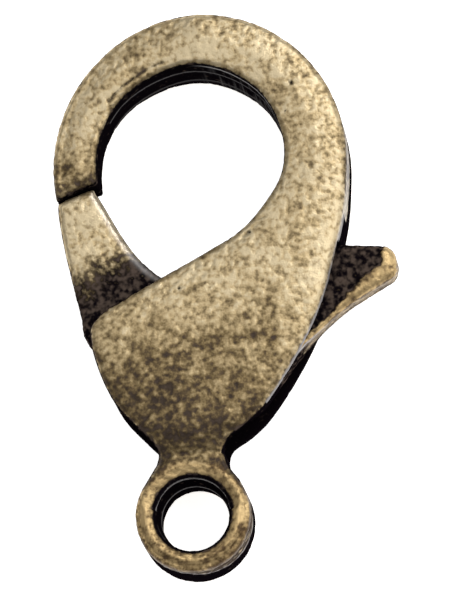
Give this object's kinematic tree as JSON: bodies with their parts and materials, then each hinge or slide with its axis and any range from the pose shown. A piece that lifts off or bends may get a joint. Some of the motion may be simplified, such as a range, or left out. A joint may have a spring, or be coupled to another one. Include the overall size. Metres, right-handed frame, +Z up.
{
  "type": "lobster-claw trigger clasp",
  "caption": "Lobster-claw trigger clasp with a teardrop hook, a sprung thumb lever that opens the gate and a fixed eye ring for a key ring or strap.",
  "frame": {"origin": "under the middle of the clasp's outline, on the plane of its flat back face, which it lies on", "axes": "+Y from the eye ring to the top of the hook, +Z up out of the front face, +X towards the thumb tab; the lever turns about Z"},
  "size_m": [0.0264, 0.0437, 0.007],
  "materials": {
    "antique_bronze": "cast, antiqued with dark patina in the hollows, relieved and tumbled satin on the high spots",
    "worn_bronze": "cast, antiqued, worn bright on the rims that a thumb and rings rub",
    "rivet_steel": "plated with the casting, dark",
    "spring_steel": "drawn spring wire"
  },
  "bodies": {
    "body": {"body_casting": "antique_bronze", "pivot_rivet": "rivet_steel", "torsion_spring": "spring_steel"},
    "lever": {"lever": "worn_bronze"}
  },
  "joints": [
    {"name": "lever_pivot", "type": "hinge", "parent": "body", "child": "lever", "pos_m": [-0.006, -0.006, 0.0035], "axis": [0, 0, -1], "range_deg": [0, 23], "stiffness_Nm_per_rad": 0.03, "springref_deg": -34.38, "deforming": ["torsion_spring"]}
  ]
}
